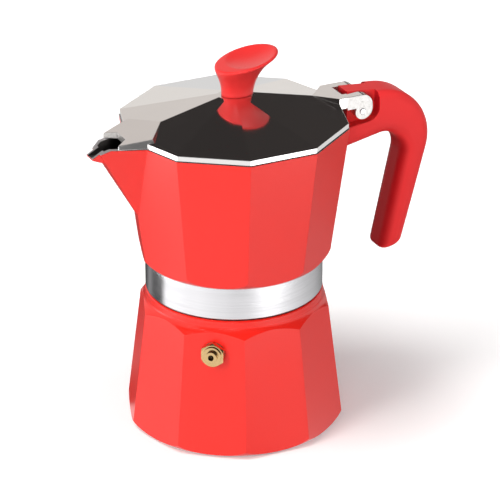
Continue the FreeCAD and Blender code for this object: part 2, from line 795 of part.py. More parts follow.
def make_riser():
    body = new_body("riser_column")
    flange_top = "neck_top + funnel_wall"
    dome = "%s + gasket_thickness + filter_thickness + steam_dome_rise" % flange_top
    foot_top = "collector_floor + riser_foot_thickness"
    turned(body, "tube", [
        ("riser_radius - riser_wall", dome),
        ("riser_radius", dome),
        ("riser_radius", "collector_floor"),
        ("riser_foot_radius", "collector_floor"),
        ("riser_foot_radius", foot_top),
        ("riser_radius + riser_wall", "%s + riser_wall" % foot_top),
        ("riser_top_radius", "riser_top - riser_top_radius / 2"),
        ("riser_top_radius / 2", "riser_top"),
        ("0", "riser_top"),
        ("0", "riser_top - riser_wall"),
        ("riser_top_radius / 2", "riser_top - riser_wall"),
        ("riser_top_radius - riser_wall", "riser_top - riser_top_radius / 2 - riser_wall"),
    ])
    # outlet windows on two sides, under the closed cap
    sketch = sketch_on(body, "window_outline", "XZ_Plane")
    ring(sketch, "0", "riser_top - 2 * riser_window", "riser_window / 2")
    extruded(body, "windows", sketch, "4 * riser_radius", cut=True, side="Symmetric")


def make_lid():
    body = new_body("lid")
    base = "rim_level + lid_gap"
    edge = "%s + lid_edge" % base
    boss = "%s + lid_rise" % edge
    lofted(body, "edge_band", [(base, decagon("lid_corner")), (edge, decagon("lid_corner"))])
    lofted(body, "roof", [(edge, decagon("lid_corner")), (boss, decagon("lid_boss"))])

    # visor over the spout: a wedge with a V nose on the ridge and a pouring notch in its end
    rest = [
        ("-visor_end", "visor_end_half"),
        ("-visor_notch", "visor_notch_half"),
    ]
    head = "%s + visor_nose_rise + visor_head_room" % base
    lofted(body, "visor", [
        (base, mirrored([
            ("-visor_nose_foot", "0"),
            ("-visor_corner_foot", "visor_corner_foot_half"),
        ] + rest)),
        (head, mirrored([
            ("-visor_nose_head", "0"),
            ("-visor_corner_head", "visor_corner_head_half"),
        ] + rest)),
    ])
    sketch = sketch_on(body, "visor_slope_outline", "XZ_Plane")
    nose = "(visor_nose_foot + visor_nose_head) / 2"
    outline(sketch, [
        ("-(%s)" % nose, "%s + visor_nose_rise" % base),
        ("-visor_nose_foot", "%s + 1" % head),
        ("-visor_end - 1", "%s + 1" % head),
        ("-visor_end - 1", "%s + visor_end_rise" % base),
    ])
    extruded(body, "visor_slope", sketch, "4 * visor_corner_foot_half", cut=True, side="Symmetric")

    # hinge block with a V nose on the opposite ridge, and the two arms beyond it
    arm_top = "pin_level + arm_rise"
    arm_low = "pin_level + arm_drop"
    sketch = sketch_on(body, "block_outline", "XY_Plane", base)
    outline(sketch, mirrored([
        ("block_nose", "0"),
        ("block_corner", "arm_half"),
        ("slot_start", "arm_half"),
    ]))
    extruded(body, "block", sketch, "%s - (%s)" % (arm_top, base))
    eye_side = "pin_reach - sqrt(eye_radius ^ 2 - arm_drop ^ 2)"
    sketch = sketch_on(body, "arm_outline", "XZ_Plane")
    outline(sketch, [
        ("block_corner", base),
        ("arm_start", base),
        ("arm_start", arm_low),
        (eye_side, arm_low),
        ("pin_reach", "pin_level - eye_radius"),
        ("pin_reach + eye_reach", "pin_level + eye_reach - eye_radius"),
        ("pin_reach + eye_reach", "%s - arm_bend" % arm_top),
        ("pin_reach + eye_reach - arm_bend", arm_top),
        ("block_corner", arm_top),
    ], {3: ("eye_radius", "left"), 4: ("eye_reach", "left"), 6: ("arm_bend", "left")})
    extruded(body, "arms", sketch, "2 * arm_half", side="Symmetric")

    # hollow underside, slot between the arms, pin bore and screw hole
    lofted(body, "hollow", [
        (base, decagon("lid_corner - lid_skirt")),
        ("%s - lid_wall" % boss, decagon("lid_boss + lid_wall")),
    ], cut=True)
    sketch = sketch_on(body, "slot_outline", "XY_Plane", "pin_level")
    outline(sketch, rectangle("slot_start", "pin_reach + 2 * eye_reach", "-slot_half", "slot_half"))
    extruded(body, "slot", sketch, "4 * arm_rise", cut=True, side="Symmetric")
    sketch = sketch_on(body, "slot_relief_outline", "XZ_Plane")
    sweep = "sqrt((pin_reach - tongue_front) ^ 2 + (tongue_top - pin_level) ^ 2)"
    ring(sketch, "pin_reach", "pin_level", "%s + slot_relief" % sweep)
    extruded(body, "slot_relief", sketch, "2 * slot_half", cut=True, side="Symmetric")
    sketch = sketch_on(body, "pin_bore_outline", "XZ_Plane")
    ring(sketch, "pin_reach", "pin_level", "pin_radius + pin_play")
    extruded(body, "pin_bore", sketch, "4 * arm_half", cut=True, side="Symmetric")
    sketch = sketch_on(body, "screw_hole_outline", "XY_Plane", boss)
    ring(sketch, "knob_foot_shift", "0", "knob_screw_radius + fit_play")
    extruded(body, "screw_hole", sketch, "6 * lid_wall", cut=True, side="Symmetric")


def make_pin():
    body = new_body("hinge_pin")
    sketch = sketch_on(body, "pin_outline", "XZ_Plane")
    ring(sketch, "pin_reach", "pin_level", "pin_radius")
    extruded(body, "pin", sketch, "2 * (arm_half + pin_proud)", side="Symmetric")


def make_knob():
    foot = "rim_level + lid_gap + lid_edge + lid_rise + knob_gap"
    sections = []
    for place in ("foot", "neck", "flare", "head"):
        oval = doc.addObject("Part::Ellipse", "knob_%s_oval" % place)
        oval.setExpression("MajorRadius", bound("knob_%s_long" % place))
        oval.setExpression("MinorRadius", bound("knob_%s_wide" % place))
        oval.setExpression("Placement.Base.x", bound("knob_%s_shift" % place))
        level = foot if place == "foot" else "%s + knob_%s_rise" % (foot, place)
        oval.setExpression("Placement.Base.z", bound(level))
        if place != "foot":
            oval.Placement.Rotation = FreeCAD.Rotation(FreeCAD.Vector(0, -1, 0), 1)
            oval.setExpression("Placement.Rotation.Angle", bound("knob_%s_tilt" % place))
        sections.append(oval)
    flared = doc.addObject("Part::Loft", "knob_flared")
    flared.Sections = sections
    flared.Solid = True
    flared.Ruled = False
    doc.recompute()

    # the head's sharp rim is rounded, its top is dished and its foot bored for the insert
    tops = [edge.BoundBox.ZMax for edge in flared.Shape.Edges]
    flats = [edge.BoundBox.ZMin for edge in flared.Shape.Edges]
    rim = max(range(len(flats)), key=lambda index: flats[index] + tops[index])
    rounded = doc.addObject("Part::Fillet", "knob_rounded")
    rounded.Base = flared
    rounded.Edges = [(rim + 1, value("knob_rim"), value("knob_rim"))]
    dish = doc.addObject("Part::Sphere", "knob_dish")
    dish.setExpression("Radius", bound("knob_dish_radius"))
    rise = "knob_dish_radius - knob_dish_depth"
    dish.setExpression("Placement.Base.x", bound("knob_head_shift - (%s) * sin(knob_head_tilt)" % rise))
    level = "%s + knob_head_rise" % foot
    dish.setExpression("Placement.Base.z", bound("%s + (%s) * cos(knob_head_tilt)" % (level, rise)))
    dished = doc.addObject("Part::Cut", "knob_dished")
    dished.Base = rounded
    dished.Tool = dish
    bore = doc.addObject("Part::Cylinder", "knob_bore")
    bore.setExpression("Radius", bound("insert_radius + fit_play"))
    bore.setExpression("Height", bound("insert_length + 2"))
    bore.setExpression("Placement.Base.x", bound("knob_foot_shift"))
    bore.setExpression("Placement.Base.z", bound("%s - 1" % foot))
    knob = doc.addObject("Part::Cut", "knob")
    knob.Base = dished
    knob.Tool = bore
    knob.Label = "knob"
    pieces.append(knob)

    # fixing of the knob: moulded-in brass insert, screw and washer under the lid
    insert = new_body("knob_insert")
    inner = "knob_screw_radius + fit_play"
    turned(insert, "sleeve", rectangle(inner, "insert_radius", "0", "insert_length"))
    insert.setExpression("Placement.Base.z", bound(foot))
    under = "rim_level + lid_gap + lid_edge + lid_rise - lid_wall"
    washer = new_body("knob_washer")
    turned(washer, "disc", rectangle(inner, "knob_washer_radius", "-knob_washer_thickness", "0"))
    washer.setExpression("Placement.Base.z", bound(under))
    screw = new_body("knob_screw")
    head = "-knob_washer_thickness - knob_screw_head_height"
    turned(screw, "shaft", [
        ("0", head),
        ("knob_screw_head", head),
        ("knob_screw_head", "-knob_washer_thickness"),
        ("knob_screw_radius", "-knob_washer_thickness"),
        ("knob_screw_radius", "knob_screw_length - knob_washer_thickness"),
        ("0", "knob_screw_length - knob_washer_thickness"),
    ])
    sketch = sketch_on(screw, "drive_outline", "XY_Plane", head)
    slot = "knob_screw_head_height / 4"
    outline(sketch, rectangle("-knob_screw_head - 1", "knob_screw_head + 1", "-%s" % slot, slot))
    extruded(screw, "drive", sketch, "knob_screw_head_height", cut=True, side="Symmetric")
    screw.setExpression("Placement.Base.z", bound(under))
    for body in (insert, washer, screw):
        body.setExpression("Placement.Base.x", bound("knob_foot_shift"))


def softened(body, name, reach, level, radius):
    # rounds the long side edges that rise from one corner of the grip's end face
    doc.recompute()
    base = body.Tip
    corner = (value(reach), value(level))
    names = []
    for index, edge in enumerate(base.Shape.Edges, start=1):
        box = edge.BoundBox
        ends = [math.dist((vertex.X, vertex.Z), corner) for vertex in edge.Vertexes]
        if box.YLength < 1e-6 and box.ZLength > 2 * value("handle_tail_slant") and min(ends) < 1e-3:
            names.append("Edge%d" % index)
    feature = body.newObject("PartDesign::Fillet", name)
    feature.Base = (base, names)
    feature.setExpression("Radius", bound(radius))
    return feature


def make_handle():
    body = new_body("handle")
    # the crown line runs along the top of the tongue and falls towards the grip
    wall = "pin_reach + recess_reach"
    recess_floor = "handle_front_high + (%s - handle_front) * tan(recess_rise)" % wall
    tail_outer_level = "handle_tail_level + handle_tail_slant"
    sketch = sketch_on(body, "grip_outline", "XZ_Plane")
    outline(sketch, [
        ("handle_front", "handle_front_low"),
        ("handle_inner_corner", "handle_inner_level"),
        ("handle_tail_inner", "handle_tail_level"),
        ("handle_tail_outer", tail_outer_level),
        ("crown_end", "crown_end_level"),
        (wall, "crown_start_level - (%s - crown_start) * tan(handle_crown_fall)" % wall),
        (wall, recess_floor),
        ("handle_front", "handle_front_high"),
    ])
    extruded(body, "grip", sketch, "2 * handle_half", side="Symmetric")
    bent(body, "inner_bend", [("handle_inner_corner", "handle_inner_level")], "handle_inner_bend")
    bent(body, "outer_bend", [("crown_end", "crown_end_level")], "handle_outer_bend")
    bent(body, "recess_bend", [(wall, recess_floor)], "recess_round")

    # long edges of the grip rounded to the hand, more so on the inside, then the edge of its end face
    softened(body, "inner_rounding", "handle_tail_inner", "handle_tail_level", "handle_inner_round")
    rounding = softened(body, "rounding", "handle_tail_outer", tail_outer_level, "handle_round")
    doc.recompute()
    heights = [face.CenterOfMass.z for face in rounding.Shape.Faces]
    end_face = heights.index(min(heights)) + 1
    tail_round = body.newObject("PartDesign::Fillet", "tail_round")
    tail_round.Base = (rounding, ["Face%d" % end_face])
    tail_round.setExpression("Radius", bound("handle_tail_round"))

    # narrow tongue between the two hinge arms
    back = "%s + 2" % wall
    sketch = sketch_on(body, "tongue_outline", "XZ_Plane")
    outline(sketch, [
        ("tongue_front", "handle_front_high - 2"),
        (back, "handle_front_high - 2"),
        (back, "crown_start_level - (%s - crown_start) * tan(handle_crown_fall)" % back),
        ("tongue_front", "tongue_top"),
    ])
    extruded(body, "tongue", sketch, "2 * tongue_half", side="Symmetric")

    # front hollowed to the corner of the collector, socket for the lug, pin and screw holes
    gap = "handle_play / cos(%g)" % (step_angle / 2)
    wedge_half = "2 * handle_half"
    slant = "%s * tan(%g)" % (wedge_half, step_angle / 2)
    profiles = []
    for level in ("handle_tail_level", "rim_level + %d" % cut_margin):
        corner = "rim_corner + %s - (rim_level - (%s)) * collector_draft" % (gap, level)
        profiles.append((level, mirrored([
            (corner, "0"),
            ("%s - %s" % (corner, slant), wedge_half),
            ("0", wedge_half),
        ])))
    lofted(body, "corner_fit", profiles, cut=True)
    sketch = sketch_on(body, "socket_outline", "XZ_Plane")
    bottom = "lug_bottom - lug_play"
    outline(sketch, rectangle("handle_front - 2", "lug_reach + lug_play", bottom, "lug_top + lug_play"))
    extruded(body, "socket", sketch, "2 * (lug_half + lug_play)", cut=True, side="Symmetric")
    sketch = sketch_on(body, "tongue_bore_outline", "XZ_Plane")
    ring(sketch, "pin_reach", "pin_level", "pin_radius + pin_play / 2")
    extruded(body, "tongue_bore", sketch, "4 * handle_half", cut=True, side="Symmetric")
    sketch = sketch_on(body, "screw_clearance_outline", "XY_Plane", "lug_bottom")
    ring(sketch, "handle_screw_reach", "0", "handle_screw_radius + lug_play")
    extruded(body, "screw_clearance", sketch, "4 * handle_web", cut=True, side="Symmetric")
    seat = "lug_bottom - handle_web"
    sketch = sketch_on(body, "screw_pocket_outline", "XY_Plane", seat)
    ring(sketch, "handle_screw_reach", "0", "handle_washer_radius + lug_play")
    extruded(body, "screw_pocket", sketch, "handle_front_high - handle_front_low", cut=True, reverse=False)

    washer = new_body("handle_washer")
    low = "-handle_washer_thickness"
    turned(washer, "disc", rectangle("handle_screw_radius + fit_play", "handle_washer_radius", low, "0"))
    screw = new_body("handle_screw")
    head = "%s - handle_screw_head_height" % low
    tip = "handle_web + handle_screw_depth"
    turned(screw, "shaft", [
        ("0", head),
        ("handle_screw_head", head),
        ("handle_screw_head", low),
        ("handle_screw_radius", low),
        ("handle_screw_radius", tip),
        ("0", tip),
    ])
    sketch = sketch_on(screw, "drive_outline", "XY_Plane", head)
    slot = "handle_screw_head_height / 4"
    outline(sketch, rectangle("-handle_screw_head - 1", "handle_screw_head + 1", "-%s" % slot, slot))
    extruded(screw, "drive", sketch, "handle_screw_head_height", cut=True, side="Symmetric")
    for piece in (washer, screw):
        piece.setExpression("Placement.Base.x", bound("handle_screw_reach"))
        piece.setExpression("Placement.Base.z", bound(seat))


make_boiler()
make_valve()
make_funnel()
make_seals()
make_collector()
make_riser()
make_lid()
make_pin()
make_knob()
make_handle()
doc.recompute()

# every object has to be sound before anything is written
for item in doc.Objects:
    if "Invalid" in item.State or "Error" in item.State:
        raise RuntimeError("%s failed: %s" % (item.Label, item.State))
for piece in pieces:
    if piece.Shape.isNull() or not piece.Shape.isValid():
        raise RuntimeError("%s has no sound shape" % piece.Label)

os.makedirs("parts", exist_ok=True)
for piece in pieces:
    piece.Shape.exportStep("parts/%s.step" % piece.Label)
    box = piece.Shape.BoundBox
    print("%-16s solids %d volume %9.1f  x %.1f..%.1f y %.1f..%.1f z %.1f..%.1f" % (
        piece.Label, len(piece.Shape.Solids), piece.Shape.Volume,
        box.XMin, box.XMax, box.YMin, box.YMax, box.ZMin, box.ZMax))
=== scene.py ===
import bpy
import json
import math
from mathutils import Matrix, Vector


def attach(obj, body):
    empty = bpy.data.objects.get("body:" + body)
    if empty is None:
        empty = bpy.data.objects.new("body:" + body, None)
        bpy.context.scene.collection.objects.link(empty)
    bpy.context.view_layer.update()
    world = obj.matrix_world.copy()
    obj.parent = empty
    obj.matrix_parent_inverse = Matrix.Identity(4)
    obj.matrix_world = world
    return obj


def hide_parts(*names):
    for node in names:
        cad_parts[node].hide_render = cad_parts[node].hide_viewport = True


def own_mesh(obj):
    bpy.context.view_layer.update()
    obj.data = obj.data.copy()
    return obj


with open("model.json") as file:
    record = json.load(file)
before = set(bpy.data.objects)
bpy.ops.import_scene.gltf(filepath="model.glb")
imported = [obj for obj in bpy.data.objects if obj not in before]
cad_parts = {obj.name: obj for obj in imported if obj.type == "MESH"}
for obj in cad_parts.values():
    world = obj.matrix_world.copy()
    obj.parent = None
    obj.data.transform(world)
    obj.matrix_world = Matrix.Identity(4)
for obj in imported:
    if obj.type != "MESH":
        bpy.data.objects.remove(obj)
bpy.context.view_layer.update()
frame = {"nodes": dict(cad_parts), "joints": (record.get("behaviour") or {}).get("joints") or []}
nodes = frame["nodes"]
print("frame:", len(nodes), "nodes")

perRadian = 180.0 / math.pi    # degrees in a radian
black = (0, 0, 0, 1)
white = (1, 1, 1, 1)


class Wire:
    # one socket of a shader, for plain sums
    def __init__(self, tree, socket):
        self.tree = tree
        self.socket = socket

    def sums(self, operation, left, right=0.0):
        return addNode(self.tree, "ShaderNodeMath", {"operation": operation}, {0: left, 1: right})

    def __add__(self, other):
        return self.sums("ADD", self, other)

    def __radd__(self, other):
        return self.sums("ADD", other, self)

    def __sub__(self, other):
        return self.sums("SUBTRACT", self, other)

    def __rsub__(self, other):
        return self.sums("SUBTRACT", other, self)

    def __neg__(self):
        return self.sums("SUBTRACT", 0.0, self)

    def __mul__(self, other):
        return self.sums("MULTIPLY", self, other)

    def __rmul__(self, other):
        return self.sums("MULTIPLY", other, self)

    def __truediv__(self, other):
        return self.sums("DIVIDE", self, other)

    def __pow__(self, other):
        return self.sums("POWER", self, other)

    def most(self, other):
        return self.sums("MAXIMUM", self, other)

    def least(self, other):
        return self.sums("MINIMUM", self, other)

    def below(self, limit):
        return self.sums("LESS_THAN", self, limit)

    def hypot(self, other):
        return (self * self + other * other) ** 0.5

    def turn(self, other):
        return self.sums("ARCTAN2", self, other)

    def tilt(self):
        return self.sums("ARCSINE", self)

    def rise(self, low, high):
        # smooth step from 0 to 1
        settings = {"interpolation_type": "SMOOTHSTEP"}
        links = {"Value": self, "From Min": low, "From Max": high}
        return addNode(self.tree, "ShaderNodeMapRange", settings, links)


def addNode(tree, kind, settings=None, links=None, out=0):
    node = tree.nodes.new(kind)
    for name, value in (settings or {}).items():
        if name == "stops":
            layStops(node.color_ramp, value)
        else:
            setattr(node, name, value)
    for name, value in (links or {}).items():
        if isinstance(value, Wire):
            tree.links.new(value.socket, node.inputs[name])
        else:
            node.inputs[name].default_value = value
    return Wire(tree, node.outputs[out]) if node.outputs else None


def layStops(ramp, stops):
    # stops in rising order, each with its place and colour
    ends = ramp.elements[0], ramp.elements[1]
    for element, (place, colour) in zip(ends, (stops[0], stops[-1])):
        element.position = place
        element.color = colour
    for place, colour in stops[1:-1]:
        ramp.elements.new(place).color = colour


def blendColour(tree, amount, first, second):
    # a Mix node takes its colours in sockets 6 and 7 and gives one in socket 2
    settings = {"data_type": "RGBA"}
    return addNode(tree, "ShaderNodeMix", settings, {0: amount, 6: first, 7: second}, 2)


def split(tree, vector):
    parts = addNode(tree, "ShaderNodeSeparateXYZ", None, {0: vector})
    return [Wire(tree, socket) for socket in parts.socket.node.outputs]


def coordinates(tree, kind):
    return addNode(tree, "ShaderNodeTexCoord", None, None, kind)


def grain(tree, place, look):
    # even noise round 0.5, at one scale or in lines of their own closeness along each axis
    if "lines" in look:
        place = addNode(tree, "ShaderNodeMapping", None, {"Vector": place, "Scale": look["lines"]})
    links = {"Vector": place, "Scale": look.get("scale", 1.0), "Detail": look["detail"]}
    return addNode(tree, "ShaderNodeTexNoise", None, links)


def newFinish(name):
    material = bpy.data.materials.new(name)
    material.use_nodes = True
    tree = material.node_tree
    tree.nodes.clear()
    return material, tree, coordinates(tree, "Object")


def closeFinish(tree, links, edge, bumps):
    # edge: softness of the sharp edges; bumps: height and depth of each relief, one on another
    normal = addNode(tree, "ShaderNodeBevel", {"samples": 6}, {"Radius": edge})
    for height, depth in bumps:
        normal = addNode(tree, "ShaderNodeBump", None, {
            "Height": height, "Strength": 1.0, "Distance": depth, "Normal": normal})
    links["Normal"] = normal
    surface = addNode(tree, "ShaderNodeBsdfPrincipled", None, links)
    addNode(tree, "ShaderNodeOutputMaterial", None, {"Surface": surface})


def dress(names, material):
    for name in names:
        slots = nodes[name].data.materials
        slots.clear()
        slots.append(material)


# lengths in metres; a pair says where a mask starts to rise and where it is full
enamel = {
    "red": (0.90, 0.021, 0.013, 1),
    "redDeep": (0.85, 0.018, 0.011, 1),
    "paintRough": 0.36,
    "shoulderRough": 0.15,
    "shine": 0.62,
    "coat": 0.05,
    "coatRough": 0.16,
    "paintDepth": 0.00006,
    "bare": (0.85, 0.84, 0.86, 1),
    "bareDull": (0.75, 0.74, 0.76, 1),
    # cast metal inside, darkened as painted shade, then a darker painted shade in the spout
    "inside": (0.46, 0.45, 0.44, 1),
    "stain": (0.22, 0.21, 0.21, 1),
    "castRough": 0.42,
    "turnedRough": 0.17,
    "edge": 0.0005,
    "waver": {"scale": 260.0, "detail": 3.0, "reach": 0.00035},
    "cloud": {"scale": 45.0, "detail": 3.0, "rough": 0.08},
    "peel": {"scale": 900.0, "detail": 2.0, "depth": 0.000016},
    "rings": {"lines": (14.0, 14.0, 7000.0), "detail": 2.0, "depth": 0.000030},
    "broad": {"lines": (8.0, 8.0, 1300.0), "detail": 1.0, "rough": 0.12},
    "cast": {"scale": 2200.0, "detail": 3.0, "depth": 0.00004},
    "outside": (0.03, 0.10),
    "turned": (0.80, 0.95),
    "flank": (0.0004, 0.0010),
    "shoulder": (0.16, 0.28),
    "rim": (0.50, 0.70),
    "mouth": (0.0425, 0.0465),
    "boiler": {
        "foot": (0.00020, 0.00035),
        "top": (0.06400, 0.06415),
        "neck": (0.059, 0.060),
    },
    "collector": {
        "foot": (0.07490, 0.07505),
        "top": (0.13400, 0.13415),
        "flat": (0.50, 0.60),
        "spout": (0.047, 0.049),
    },
}


def enamelFinish(name, zone):
    # red stove enamel outside, bare metal inside, on the turned band and on the rim
    material, tree, place = newFinish(name)
    x, y, z = split(tree, place)
    nx, ny, nz = split(tree, coordinates(tree, "Normal"))
    outward = (nx * x + ny * y) / x.hypot(y)
    reach = enamel["waver"]["reach"]
    level = z + grain(tree, place, enamel["waver"]) * reach - reach / 2
    outside = outward.rise(*enamel["outside"])
    if "spout" in zone:    # its flanks are outside too, up to the tip
        outside = outside.most((-x).rise(*zone["spout"]) * (ny * y).rise(*enamel["flank"]))
    painted = outside * level.rise(*zone["foot"]) * (1.0 - level.rise(*zone["top"]))
    if "flat" in zone:
        painted = painted * (1.0 - nz.rise(*zone["flat"]))

    cloud = grain(tree, place, enamel["cloud"])
    red = blendColour(tree, cloud, enamel["redDeep"], enamel["red"])
    peel = grain(tree, place, enamel["peel"])
    smooth = nz.rise(*enamel["shoulder"])    # turned before it was painted
    if "neck" in zone:
        smooth = z.rise(*zone["neck"]).most(smooth)
    paintRough = enamel["paintRough"] + smooth * (enamel["shoulderRough"] - enamel["paintRough"])

    # rings of the lathe on the band; plain cast metal inside, darkened with painted shade, darkest
    # in the spout
    turned = outward.rise(*enamel["turned"])
    rings = grain(tree, place, enamel["rings"])
    broad = grain(tree, place, enamel["broad"])
    cast = grain(tree, place, enamel["cast"])
    metal = blendColour(tree, broad, enamel["bareDull"], enamel["bare"])
    mouth = (-x).rise(*enamel["mouth"])
    inside = blendColour(tree, mouth, enamel["inside"], enamel["stain"])
    inner = (1.0 - turned) * (1.0 - nz.rise(*enamel["rim"]))
    metal = blendColour(tree, inner, metal, inside)
    metalRough = enamel["castRough"] + turned * (enamel["turnedRough"] - enamel["castRough"])
    metalRough = metalRough + (broad - 0.5) * enamel["broad"]["rough"]

    unpainted = 1.0 - painted
    paintRough = paintRough + (cloud - 0.5) * enamel["cloud"]["rough"]
    links = {
        "Base Color": blendColour(tree, painted, metal, red),
        "Metallic": unpainted,
        "Roughness": painted * paintRough + unpainted * metalRough,
        "Specular IOR Level": enamel["shine"],
        "Coat Weight": painted * enamel["coat"],
        "Coat Roughness": enamel["coatRough"],
    }
    closeFinish(tree, links, enamel["edge"], [
        (painted * peel, enamel["peel"]["depth"]),
        (unpainted * turned * rings, enamel["rings"]["depth"]),
        (unpainted * (1.0 - turned) * cast, enamel["cast"]["depth"]),
        (painted, enamel["paintDepth"]),
    ])
    return material


for name in ("boiler", "collector"):
    dress([name], enamelFinish(name + "Enamel", enamel[name]))
print("enamel on the boiler and the collector")

polish = {
    "metal": (0.90, 0.885, 0.875, 1),
    "grey": (0.66, 0.64, 0.62, 1),
    "mirrorRough": 0.08,
    "castRough": 0.34,
    "castGrey": 0.2,
    "visorDull": 0.6,
    "edge": 0.00035,
    "haze": {"scale": 60.0, "detail": 4.0, "middle": 0.4, "rough": 0.06, "grey": 0.15},
    "scratch": {"lines": (300.0, 5200.0, 300.0), "detail": 2.0, "depth": 0.0000012},
    "sand": {"scale": 1100.0, "detail": 3.0, "depth": 0.00022},
    "wave": {"scale": 55.0, "detail": 1.0, "depth": 0.00005},
    "under": (-0.6, -0.2),
    "arm": (0.047, 0.049),
    "armTop": (0.90, 0.97),
    "visor": (0.050, 0.051),
    "visorEnd": (0.35, 0.60),
}


def polishFinish():
    # buffed top; plain cast underside, hinge arms and end of the visor
    material, tree, place = newFinish("lidPolish")
    x = split(tree, place)[0]
    nx, _, nz = split(tree, coordinates(tree, "Normal"))
    under = 1.0 - nz.rise(*polish["under"])
    arm = x.rise(*polish["arm"]) * (1.0 - nz.rise(*polish["armTop"]))
    visor = (-x).rise(*polish["visor"]) * (-nx).rise(*polish["visorEnd"])
    cast = under.most(arm.most(visor))
    haze = grain(tree, place, polish["haze"])
    scratch = grain(tree, place, polish["scratch"])
    sand = grain(tree, place, polish["sand"])
    wave = grain(tree, place, polish["wave"])
    grey = cast * (polish["castGrey"] + sand) + haze * polish["haze"]["grey"]
    rough = polish["mirrorRough"] + (haze - polish["haze"]["middle"]) * polish["haze"]["rough"]
    rough = rough + cast * (polish["castRough"] - polish["mirrorRough"])
    links = {
        "Base Color": blendColour(tree, grey, polish["metal"], polish["grey"]),
        "Metallic": 1.0 - visor * polish["visorDull"],
        "Roughness": rough,
    }
    closeFinish(tree, links, polish["edge"], [
        (wave, polish["wave"]["depth"]),
        ((1.0 - cast) * scratch, polish["scratch"]["depth"]),
        (cast * sand, polish["sand"]["depth"]),
    ])
    return material


dress(["lid"], polishFinish())
print("polish on the lid")

plastic = {
    "cloud": {"scale": 70.0, "detail": 3.0, "rough": 0.10},
    "fine": {"scale": 2600.0, "detail": 2.0, "rough": 0.08},
    "flow": {"scale": 120.0, "detail": 2.0, "depth": 0.00006},
    # the inner side's painted shade rises over this range of the normal
    "innerShade": (0.45, 1.0),
    "pieces": {
        "knob": {
            "red": (0.93, 0.040, 0.039, 1),
            "deep": (0.87, 0.034, 0.034, 1),
            "wearAndShade": (0.93, 0.040, 0.039, 1),
            "rough": 0.30,
            "shine": 0.55,
            "edge": 0.0014,
            "fineDepth": 0.000010,
        },
        "handle": {
            "red": (0.90, 0.040, 0.042, 1),
            "deep": (0.85, 0.034, 0.037, 1),
            # the darker red painted on the handle's inner side as its shade
            "wearAndShade": (0.40, 0.006, 0.010, 1),
            "rough": 0.42,
            "shine": 0.25,
            "edge": 0.0005,
            "fineDepth": 0.000025,
        },
    },
}


def plasticFinish(name, look):
    # moulded satin plastic with a fine spark-eroded grain, and painted shade on the inner side
    material, tree, place = newFinish(name)
    nx = split(tree, coordinates(tree, "Normal"))[0]
    cloud = grain(tree, place, plastic["cloud"])
    fine = grain(tree, place, plastic["fine"])
    flow = grain(tree, place, plastic["flow"])
    red = blendColour(tree, cloud, look["deep"], look["red"])
    innerShade = (-nx).rise(*plastic["innerShade"])    # painted shade: darker on the inner side, which faces the pot
    rough = look["rough"] + (cloud - 0.5) * plastic["cloud"]["rough"]
    links = {
        "Base Color": blendColour(tree, innerShade, red, look["wearAndShade"]),
        "Roughness": rough + (fine - 0.5) * plastic["fine"]["rough"],
        "Specular IOR Level": look["shine"],
    }
    closeFinish(tree, links, look["edge"], [
        (fine, look["fineDepth"]),
        (flow, plastic["flow"]["depth"]),
    ])
    return material


for name, look in plastic["pieces"].items():
    dress([name], plasticFinish(name + "Plastic", look))
print("plastic on the handle and the knob")

metals = {
    "tool": {"detail": 2.0, "share": 0.3, "rough": 0.12, "depth": 0.000012},
    "patch": {"scale": 150.0, "detail": 4.0, "share": 0.7, "rough": 0.20, "depth": 0.00005},
    "kinds": {
        "valveBrass": {
            "nodes": ["valve_body", "valve_seat", "knob_insert"],
            "bright": (0.84, 0.61, 0.31, 1),
            "dull": (0.63, 0.40, 0.17, 1),
            "rough": 0.20,
            "lines": (900.0, 900.0, 3500.0),
            "edge": 0.0003,
        },
        "plainSteel": {
            "nodes": ["hinge_pin", "valve_ball", "valve_spring", "knob_screw", "knob_washer",
                      "handle_screw", "handle_washer"],
            "bright": (0.70, 0.70, 0.71, 1),
            "dull": (0.50, 0.50, 0.52, 1),
            "rough": 0.26,
            "lines": (2500.0, 500.0, 2500.0),
            "edge": 0.0002,
        },
        "spunAluminium": {
            "nodes": ["funnel", "funnel_screen", "filter_plate", "riser_column"],
            "bright": (0.80, 0.80, 0.81, 1),
            "dull": (0.62, 0.62, 0.64, 1),
            "rough": 0.32,
            "lines": (12.0, 12.0, 5000.0),
            "edge": 0.0002,
        },
    },
}


def metalFinish(name, look):
    # drawn or turned metal: lines of the tool, patches of handling
    material, tree, place = newFinish(name)
    tool, wearAndShade = metals["tool"], metals["patch"]
    lines = grain(tree, place, {**tool, "lines": look["lines"]})
    patch = grain(tree, place, wearAndShade)
    shade = patch * wearAndShade["share"] + lines * tool["share"]
    rough = look["rough"] + (patch - 0.5) * wearAndShade["rough"] + (lines - 0.5) * tool["rough"]
    links = {
        "Base Color": blendColour(tree, shade, look["dull"], look["bright"]),
        "Metallic": 1.0,
        "Roughness": rough,
    }
    closeFinish(tree, links, look["edge"], [(lines, tool["depth"]), (patch, wearAndShade["depth"])])
    return material


for name, look in metals["kinds"].items():
    dress(look["nodes"], metalFinish(name, look))
print("bare metals")

spring = {
    "node": "valve_spring",
    "name": "springCoil",
    "body": "lower",
    "joint": "valve_lift",
    "slot": "steel",
    "merge": 0.000001,
    "smooth": 40.0,
}


